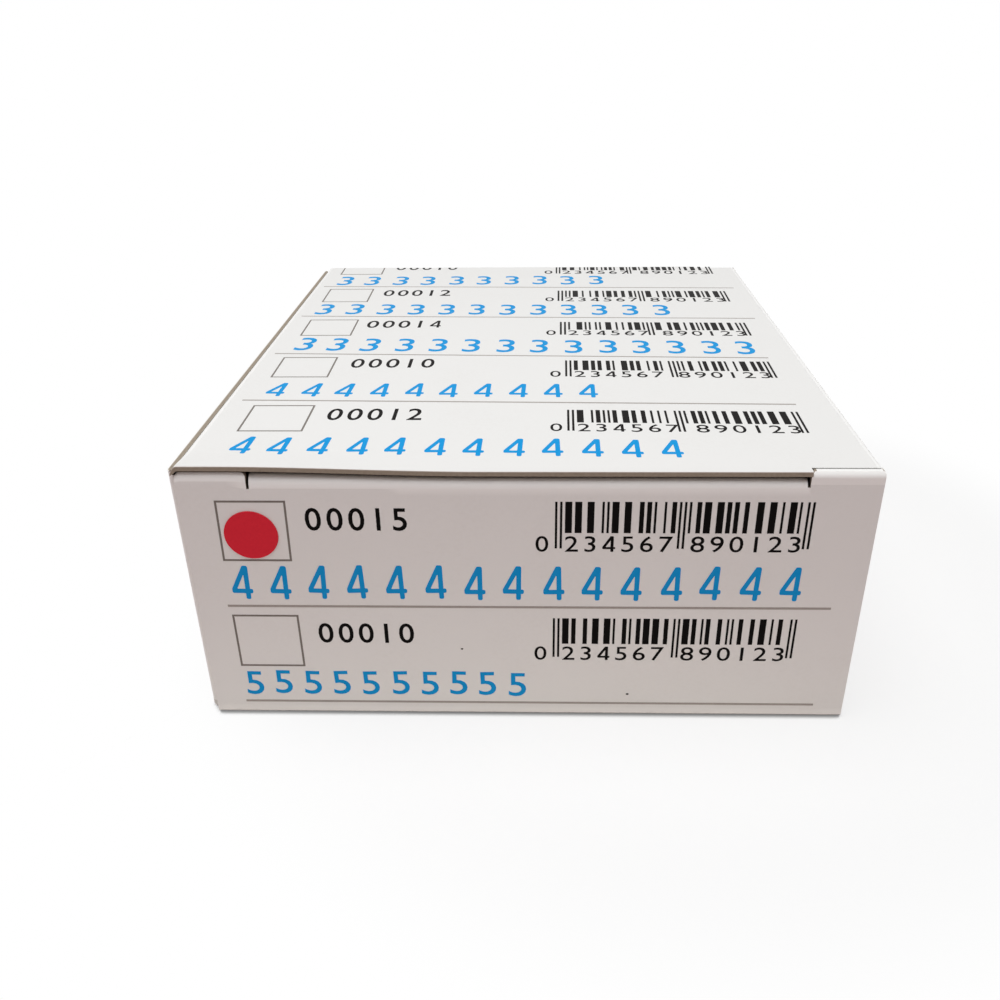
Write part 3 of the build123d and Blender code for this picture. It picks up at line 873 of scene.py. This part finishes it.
class Print:
    """The print of one face, one bundle of shapes for each ink."""

    def __init__(self):
        self.sheets = {ink: bmesh.new() for ink in inks}

    def add(self, ink, mesh, x=0.0, y=0.0, turn=0.0):
        mesh.transform(Matrix.Translation((x, y, 0)) @ Matrix.Rotation(math.radians(turn), 4, "Z"))
        self.sheets[ink].from_mesh(mesh)
        bpy.data.meshes.remove(mesh)

    def tick_box(self, left, low, width, height, lean=0.0):
        outer = [(0, 0), (width, 0), (width + lean, height), (lean, height)]
        inner = []
        for x, y in outer:
            inset_x = line_width if x < width / 2 else -line_width
            inset_y = line_width if y == 0 else -line_width
            inner.append((x + inset_x, y + inset_y))
        self.add("grey", filled(outer, inner), left, low)

    def hairline(self, left, right, y_left, y_right):
        half = rule_width / 2
        upper = [(right, y_right + half), (left, y_left + half)]
        self.add("pale", filled([(left, y_left - half), (right, y_right - half)] + upper))

    def row(self, glyph, count, first, pitch, y, seed, slope=0.0):
        mesh = run_tree(row_tree, {
            "Glyph": glyphs[glyph], "Count": count, "Pitch": pitch, "Wander": 0.09, "Tilt": 0.035,
            "Seed": seed, "Ink": inks["blue"],
        })
        self.add("blue", mesh, first, y, slope)

    def number(self, text, left, width, y, height):
        self.add("black", digits(text, width, height, weight=0.009, middle=(0, 0.5)), left, y)

    def bar_code(self, left, width, top, bar, guard, digit_height, seed, slope=0.0):
        mesh = run_tree(code_tree, {
            "Bars": 30, "Width": width, "Bar Length": bar, "Guard Length": guard,
            "Seed": seed, "Ink": inks["black"],
        })
        self.add("black", mesh, left, top, slope)
        y = top - bar - digit_drop - digit_height / 2
        drop = math.tan(math.radians(slope)) * width
        for text, start, end in code_groups:
            mesh = digits(text, (end - start) * width, digit_height, weight=0.002)
            middle = (start + end) / 2
            self.add("black", mesh, left + middle * width, y + middle * drop, slope)


print("ink stands", round(ink_thickness - ink_sink, 3), "mm above the board")

# %% The chart on the front closure and on the top panel
front_print = Print()
front_print.tick_box(-29.8, 19.5, 6.9, 6.85, lean=0.12)
front_print.tick_box(-29.9, 6.4, 6.85, 6.6)
front_print.number("00015", -21.1, 9.9, 24.3, 2.55)
front_print.number("00010", -21.2, 9.9, 10.75, 2.5)
front_print.bar_code(3.1, 24.9, 26.3, 3.45, 5.2, 1.8, seed=3)
front_print.bar_code(3.0, 25.0, 12.75, 3.2, 4.9, 1.75, seed=8)
front_print.row("four", 15, -28.4, 3.924, 17.0, seed=1)
front_print.row("five", 10, -28.76, 3.116, 4.2, seed=2)
front_print.hairline(-30.15, 30.9, 14.1, 14.1)
front_print.hairline(-30.0, 30.8, 1.7, 1.7)
dot_radius = 2.65
dot_at = (-26.57, 22.52)
dot_angles = [k * math.pi / 36 for k in range(72)]
round_label = [(dot_radius * math.cos(a), dot_radius * math.sin(a)) for a in dot_angles]
front_print.add("red", filled(round_label), *dot_at)
for x, z, radius in ((-6.4, 8.8, 0.14), (11.0, 2.95, 0.17)):
    speck = [(radius * math.cos(k), radius * 0.7 * math.sin(k)) for k in range(6)]
    front_print.add("black", filled(speck), x, z)

top_print = Print()
top_rows = (
    # number, box left, box low, number left, number y, bars left, bars right,
    # glyph, count, first, pitch, digit y, seed, slope
    ("00012", -29.7, -28.4, -21.1, -24.0, 4.6, 29.4, "four", 12, -28.1, 3.883, -31.75, 4, -0.85),
    ("00010", -30.2, -13.0, -21.4, -8.3, 4.8, 29.8, "four", 10, -28.3, 3.936, -16.85, 5, -0.8),
    ("00014", -30.25, 2.3, -22.0, 7.1, 4.5, 30.0, "three", 14, -28.7, 4.342, -1.1, 6, -1.8),
    ("00012", -30.6, 17.8, -22.0, 22.4, 4.5, 30.1, "three", 12, -29.25, 4.395, 14.15, 7, -0.9),
    ("00010", -30.8, 33.3, -22.1, 37.6, 4.5, 30.2, "three", 10, -29.15, 4.424, 29.45, 9, 0.0),
)
top_slope = -1.3
top_box = (6.85, 6.9)
number_width = 10.2
number_height = 3.1
code_rise = 5.6          # from a box's lower edge up to the top of its bar code
code_heights = (3.3, 5.4, 1.9)
for (number, box_left, box_low, text_left, text_y, bars_left, bars_right,
     glyph, count, first, pitch, digit_y, seed, slope) in top_rows:
    top_print.tick_box(box_left, box_low, *top_box, lean=-0.1)
    top_print.number(number, text_left, number_width, text_y, number_height)
    code_width = bars_right - bars_left
    top_print.bar_code(bars_left, code_width, box_low + code_rise, *code_heights, seed, top_slope)
    top_print.row(glyph, count, first, pitch, digit_y, seed, slope)
for left, y_left, right, y_right in (
    (-31.5, -20.0, 29.5, -21.3), (-31.8, -4.7, 29.8, -6.6),
    (-32.0, 10.9, 31.5, 9.3), (-32.0, 26.2, 31.5, 24.6),
):
    top_print.hairline(left, right, y_left, y_right)
print("sizes on the top", len(top_rows), "points of blue ink", len(top_print.sheets["blue"].verts))


# %% Lay the print on the board
def lay_print(face, sheets, matrix, limit, share, body):
    for ink, sheet in sheets.items():
        if not sheet.verts:
            continue
        thickness = label_thickness if ink == "red" else ink_thickness
        bmesh.ops.remove_doubles(sheet, verts=sheet.verts[:], dist=1e-4)
        parts = sheet.verts[:] + sheet.edges[:] + sheet.faces[:]
        cut = bmesh.ops.bisect_plane(
            sheet, geom=parts, plane_co=(0, limit, 0), plane_no=(0, 1, 0), clear_outer=True,
        )
        rim = [part for part in cut["geom_cut"] if isinstance(part, bmesh.types.BMEdge)]
        bmesh.ops.holes_fill(sheet, edges=rim)
        bmesh.ops.triangulate(sheet, faces=sheet.faces[:])
        bmesh.ops.recalc_face_normals(sheet, faces=sheet.faces[:])
        for vertex in sheet.verts:
            flat = vertex.co.copy()
            flat.z = thickness - ink_sink if flat.z > 0 else -ink_sink
            vertex.co = lifted(matrix @ flat, share) * MM
        mesh = bpy.data.meshes.new(f"{face}_{ink}")
        sheet.to_mesh(mesh)
        sheet.free()
        piece = new_piece(f"print_{face}_{ink}", mesh, [inks[ink]])
        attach(piece, body)
        if ink == "red":
            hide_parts("size_dot")
        print(piece.name, len(mesh.polygons), "faces")


front_face = Matrix.Translation((0, -half_depth, 0)) @ Matrix.Rotation(math.radians(90), 4, "X")
top_face = Matrix.Translation((0, 0, height))
lay_print("front", front_print.sheets, front_face, height, closure_lift, "front_closure")
lay_print("top", top_print.sheets, top_face, half_depth - print_margin, 1.0, "carton")

# %% [markdown]
# ## The stamp's plastics and metals
# The stamp only shows when an end is opened, yet each piece is dressed as what it is: a U of
# nickel-plated strip, bright turned pins and screws, wheels of white acetal, a black acetal
# platen and a black ABS handle with the fine spark-eroded texture that hides finger marks.


# %% Plastics, rubber and metals
def moulded_plastic(name, dark, light, grain, depth, rough):
    # Injection moulding copies the tool: grain is the texture's spacing in millimetres.
    material, add, shader, place = new_material(name)
    texture = add("ShaderNodeTexNoise", {"Vector": place, "Scale": 1 / (grain * MM), "Detail": 2.0})
    flow = add("ShaderNodeTexNoise", {"Vector": place, "Scale": 1 / (6 * MM), "Detail": 2.0})
    tint = add("ShaderNodeMix", {0: flow, 6: dark, 7: light}, data_type="RGBA")
    finish_surface(shader, tint, texture, 0.5, depth, (rough - 0.08, rough + 0.08))
    return material


def vulcanised_rubber():
    # Stamp rubber is red-brown, matt and a little dusty, with a fine pressed grain.
    material, add, shader, place = new_material("natural_rubber_vulcanised_red")
    grain = add("ShaderNodeTexNoise", {"Vector": place, "Scale": 1 / (0.3 * MM), "Detail": 3.0})
    dust = add("ShaderNodeTexNoise", {"Vector": place, "Scale": 1 / (3 * MM), "Detail": 4.0})
    bloom = add("ShaderNodeMapRange", {"Value": dust, "From Min": 0.45, "From Max": 0.75, "To Max": 0.5})
    body = add("ShaderNodeMix", {0: bloom, 6: "#9A4A3C", 7: "#B5796B"}, data_type="RGBA")
    finish_surface(shader, body, grain, 0.4, 0.02, (0.6, 0.85))
    return material


def steel(name, colour, stretch, spacing, rough):
    # The tool's marks run one way: stretch is how much longer they are along each axis.
    material, add, shader, place = new_material(name, Metallic=1.0)
    marks = add(
        "ShaderNodeMapping", {"Vector": place, "Scale": tuple(1 / (spacing * s * MM) for s in stretch)},
    )
    scratch = add("ShaderNodeTexNoise", {"Vector": marks, "Scale": 1.0, "Detail": 3.0})
    cloud = add("ShaderNodeTexNoise", {"Vector": place, "Scale": 1 / (5 * MM), "Detail": 3.0})
    tone = add("ShaderNodeMix", {0: cloud, 6: colour[0], 7: colour[1]}, data_type="RGBA")
    finish_surface(shader, tone, scratch, 0.3, 0.01, (rough - 0.08, rough + 0.1))
    return material


slot_materials = {
    "handle_abs": moulded_plastic("abs_moulded_black_spark_eroded", "#141416", "#1E1E21", 0.25, 0.03, 0.5),
    "platen_acetal": moulded_plastic("acetal_moulded_black", "#1B1B1D", "#252528", 0.5, 0.01, 0.38),
    "wheel_acetal": moulded_plastic("acetal_moulded_white", "#DAD7CB", "#E6E3D8", 0.5, 0.01, 0.34),
    "nickel_steel": steel("steel_strip_nickel_plated", ("#CBC6BC", "#D6D2C9"), (1, 12, 1), 0.12, 0.3),
    "bright_steel": steel("steel_turned_bright", ("#C3C3C4", "#D0D0D1"), (1, 6, 6), 0.1, 0.26),
    "band_rubber": vulcanised_rubber(),
}
for part in frame["record"]["subparts"]:
    if part["material_slot"] in slot_materials:
        mesh = nodes[part["node"]].data
        mesh.materials.clear()
        mesh.materials.append(slot_materials[part["material_slot"]])
print("stamp materials", [m.name for m in slot_materials.values()])

# %% [markdown]
# ## Rubber bands with raised digits
# A band is moulded flat with twelve characters, then joined to a loop that runs round its
# wheel's drum and round the platen's nose. Geometry Nodes follow the same loop: a rounded
# profile makes the web, and the characters stand on it at even steps, facing outwards. They
# are mirrored, as on every stamp, so that they print the right way round.

# %% The loop that a band follows
drum_radius = 7.0
nose_radius = 1.6
platen_reach = 17.7
nose_rise = 1.2
band_ease = 0.1
band_thickness = 1.1
digit_relief = 0.9
characters = "0123456789-."
digit_size = (2.3, 4.0)
character_sizes = {"1": (1.1, 4.0), "-": (1.6, 0.5), ".": (0.6, 0.6)}
draft_ratios = (1.05, 0.93)   # a character's foot and top, so that the mould lets go
character_root = 0.05         # how deep it stands in the band
wheel_axis = hinges["thumb_wheel_01_turn"]
lean = math.asin((drum_radius - nose_radius) / math.hypot(platen_reach, nose_rise))
lean -= math.atan(nose_rise / platen_reach)


def band_loop(standoff, steps=10):
    """Points (y, z) from the middle of the nose, up over the drum and back, anticlockwise."""
    turn = math.pi / 2 - lean
    nose = Vector((platen_reach, nose_rise))
    upper = []
    for k in range(steps // 2 + 1):
        angle = turn * k / (steps // 2)
        upper.append(nose + (nose_radius + standoff) * direction(angle))
    for k in range(2 * steps):
        angle = turn + (math.pi - turn) * k / (2 * steps)
        upper.append((drum_radius + standoff) * direction(angle))
    back = Vector((-drum_radius - standoff, 0))
    lower = [Vector((p.x, -p.y)) for p in reversed(upper)]
    middle = Vector((platen_reach + nose_radius + standoff, 0))
    return [middle] + upper + [back] + lower


band_path = bpy.data.curves.new("band_path", "CURVE")
band_path.dimensions = "3D"
loop_spline = band_path.splines.new("POLY")
loop_points = band_loop(band_ease + band_thickness / 2)
loop_spline.points.add(len(loop_points) - 1)
for point, (y, z) in zip(loop_spline.points, loop_points):
    point.co = (0, y + wheel_axis.y, z + wheel_axis.z, 1)
loop_spline.use_cyclic_u = True
band_path_object = bpy.data.objects.new("band_path", band_path)
loop_length = sum((a - b).length for a, b in zip(loop_points, loop_points[1:] + loop_points[:1]))
print("band loop", round(loop_length, 1), "mm")

# %% Twelve raised characters
character_set = bpy.data.collections.new("band_characters")
for k, character in enumerate(characters):
    mesh = digits(character, *character_sizes.get(character, digit_size), weight=0.01)
    # Mirrored across, with the foot just below zero height.
    for vertex in mesh.vertices:
        top = vertex.co.z > 0
        draft = draft_ratios[top]
        rise = digit_relief if top else -character_root
        vertex.co = Vector((-vertex.co.x * draft, vertex.co.y * draft, rise))
    solid = bmesh.new()
    solid.from_mesh(mesh)
    bmesh.ops.remove_doubles(solid, verts=solid.verts[:], dist=1e-4)
    bmesh.ops.recalc_face_normals(solid, faces=solid.faces[:])
    solid.to_mesh(mesh)
    solid.free()
    character_set.objects.link(bpy.data.objects.new(f"character_{k:02d}", mesh))


# %% A tree for a band
def band_tree():
    add, given = new_tree("digit_band", {
        "Path": "Object", "Characters": "Collection", "Count": "Int", "Width": "Float",
        "Thickness": "Float", "Shown": "Int", "Rubber": "Material",
    })
    path = add("GeometryNodeObjectInfo", {"Object": given["Path"]})
    section = add(
        "GeometryNodeCurvePrimitiveQuadrilateral", {"Width": given["Width"], "Height": given["Thickness"]},
    )
    soft = add("GeometryNodeFilletCurve", {"Curve": section, "Radius": 0.15})
    web = add("GeometryNodeCurveToMesh", {"Curve": path.outputs["Geometry"], "Profile Curve": soft})
    stops = add(
        "GeometryNodeCurveToPoints",
        {"Curve": path.outputs["Geometry"], "Count": given["Count"]},
        mode="COUNT",
    )
    outward = add(
        "ShaderNodeVectorMath", {0: stops.outputs["Tangent"], 1: (1, 0, 0)}, operation="CROSS_PRODUCT",
    )
    across = add(
        "FunctionNodeAxesToRotation", {0: outward, 1: (1, 0, 0)}, primary_axis="Z", secondary_axis="X",
    )
    half = add("ShaderNodeMath", {0: given["Thickness"], 1: 0.5}, operation="MULTIPLY")
    lift = add("ShaderNodeVectorMath", {0: outward, "Scale": half}, operation="SCALE")
    seats = add("GeometryNodeSetPosition", {"Geometry": stops, "Offset": lift})
    index = add("GeometryNodeInputIndex")
    shown = add("ShaderNodeMath", {0: index, 1: given["Shown"]}, operation="ADD")
    choice = add("ShaderNodeMath", {0: shown, 1: given["Count"]}, operation="MODULO")
    types = add(
        "GeometryNodeCollectionInfo",
        {"Collection": given["Characters"], "Separate Children": True, "Reset Children": True},
    )
    raised = add(
        "GeometryNodeInstanceOnPoints",
        {
            "Points": seats, "Instance": types, "Pick Instance": True,
            "Instance Index": choice, "Rotation": across,
        },
    )
    both = add("GeometryNodeJoinGeometry", {0: web})
    set_inputs(both, {0: raised})
    return end_tree(add, both, given["Rubber"])


rubber_tree = band_tree()
band_nodes = sorted(name for name in nodes if name.startswith("digit_band"))
band_values = {
    "Path": band_path_object, "Characters": character_set, "Count": len(characters),
    "Thickness": band_thickness, "Shown": 0, "Rubber": slot_materials["band_rubber"],
}
for k, node in enumerate(band_nodes):
    low, high = box_mm(node)
    mesh = run_tree(rubber_tree, {**band_values, "Width": high.x - low.x})
    mesh.transform(Matrix.Translation(((low.x + high.x) / 2, 0, 0)))
    mesh.transform(Matrix.Scale(MM, 4))
    band = new_piece(f"rubber_band_{k + 1:02d}", mesh)
    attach(band, "stamp")
    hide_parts(node)
print("bands", len(band_nodes), "with", len(mesh.polygons), "faces each")

# %% [markdown]
# ## Light and camera
# The carton stands on a white sweep under one large soft lamp, overhead and a little to the
# front left. So the top is bright, and the front gets much of its light from the floor, whose
# bounce light is painted pink and lighter near the carton. Camera rays see the sweep nearly
# white, which leaves the object's own light as it is.

# %% Sizes of the light
floor_size = 6.0         # in metres, as are the other lengths here apart from the gap
floor_gap = 0.02         # millimetres under the carton, so that no two faces share a place
lamp_size = 0.4
lamp_power = 1.66        # watts
lamp_at = (-0.025, -0.07, 0.42)
room_light = 0.12        # what the white room gives as light; camera and mirror rays see it as 1
shade_middle = (0.02, -0.01, 0)
shade_reach = (0.045, 0.066)  # from its full depth to none
shade_level = 0.72
bounce_reach = (0.045, 0.09)  # nearer than this the floor sends back a lighter, yellower light
print("lamp at", lamp_at, "m")


# %% Floor, lamp and camera
def direct_rays(add):
    """Camera rays, and whether a ray is one of them or a mirror ray."""
    camera_ray = add("ShaderNodeLightPath")
    either = add(
        "ShaderNodeMath",
        {0: camera_ray.outputs["Is Camera Ray"], 1: camera_ray.outputs["Is Glossy Ray"]},
        operation="MAXIMUM",
    )
    return camera_ray.outputs["Is Camera Ray"], either


def white_sweep():
    # Matt white background paper. Camera and mirror rays see most of it as plain white.
    material, add, shader, place = new_material("background_paper_matt_white", Roughness=0.95)
    tooth = add("ShaderNodeTexNoise", {"Vector": place, "Scale": 1 / (2 * MM), "Detail": 2.0})
    # Painted light: rays that don't come from the camera see the paper pink, and lighter and yellower near the
    # carton, so the floor sends a painted warm light onto the carton's front.
    warm = add("ShaderNodeMix", {0: tooth, 6: "#E2C9C7", 7: "#E4CBC9"}, data_type="RGBA")
    away = add("ShaderNodeVectorMath", {0: place}, operation="LENGTH")
    far = add("ShaderNodeMapRange", {"Value": away, "From Min": bounce_reach[0], "From Max": bounce_reach[1]})
    bounce_colour = add("ShaderNodeMix", {0: far, 6: "#FFF4EC", 7: warm}, data_type="RGBA")
    camera_ray, seen = direct_rays(add)
    looks = add("ShaderNodeMix", {0: camera_ray, 6: bounce_colour, 7: "#F4F4F4"}, data_type="RGBA")
    set_inputs(shader, {"Base Color": looks})
    # Painted shade: around a point to the right of the carton, camera rays see less of the white glow and more of
    # the lit paper, so the floor is shaded there.
    shade = add("ShaderNodeVectorMath", {0: place, 1: shade_middle}, operation="DISTANCE")
    white = add(
        "ShaderNodeMapRange",
        {"Value": shade, "From Min": shade_reach[0], "From Max": shade_reach[1], "To Min": shade_level},
        interpolation_type="SMOOTHSTEP",
    )
    share = add("ShaderNodeMath", {0: seen, 1: white}, operation="MULTIPLY")
    # A painted contact shadow: where something stands on the paper, the white glow is dimmed to a thin dark line.
    near = add("ShaderNodeAmbientOcclusion", {"Distance": 0.9 * MM}, samples=8)
    contact_shadow = add(
        "ShaderNodeMapRange",
        {"Value": near.outputs["AO"], "From Min": 0.4, "From Max": 0.8, "To Min": 0.27},
        interpolation_type="SMOOTHSTEP",
    )
    glow = add("ShaderNodeEmission", {"Color": (1, 1, 1, 1), "Strength": contact_shadow})
    mixed = add("ShaderNodeMixShader", {0: share, 1: shader, 2: glow})
    set_inputs(material.node_tree.nodes["Material Output"], {"Surface": mixed})
    return material


floor_mesh = bpy.data.meshes.new("floor")
half = floor_size / 2
floor_corners = [(-half, -half, 0), (half, -half, 0), (half, half, 0), (-half, half, 0)]
floor_mesh.from_pydata(floor_corners, [], [(0, 1, 2, 3)])
floor = new_piece("floor", floor_mesh, [white_sweep()])
floor.location.z = -floor_gap * MM

lamp_data = bpy.data.lights.new("softbox", "AREA")
lamp_data.shape = "DISK"
lamp_data.size = lamp_size
lamp_data.energy = lamp_power
lamp = new_piece("softbox", lamp_data)
lamp.location = lamp_at
lamp.rotation_euler = (Vector((0, 0, 0)) - lamp.location).to_track_quat("-Z", "Y").to_euler()

world = bpy.data.worlds.new("white_room")
world.use_nodes = True
scene.world = world
room = world.node_tree
add = partial(add_node, room)
level = add("ShaderNodeMapRange", {"Value": direct_rays(add)[1], "To Min": room_light})
set_inputs(room.nodes["Background"], {"Strength": level, "Color": (1.0, 1.0, 1.0, 1.0)})

camera_data = bpy.data.cameras.new("camera")
camera_data.lens = 32.97
camera_data.sensor_width = 36.0
camera_data.shift_x = -0.0145
camera_data.shift_y = -0.0327
camera_data.clip_start = 0.01
camera = new_piece("camera", camera_data)
camera.location = Vector((1.36, -113.92, 68.52)) * MM
camera.rotation_euler = Euler([math.radians(a) for a in (63.237, 0.568, 1.2815)])
scene.camera = camera
scene.view_settings.view_transform = "Standard"
print("camera at", [round(c / MM, 2) for c in camera.location])
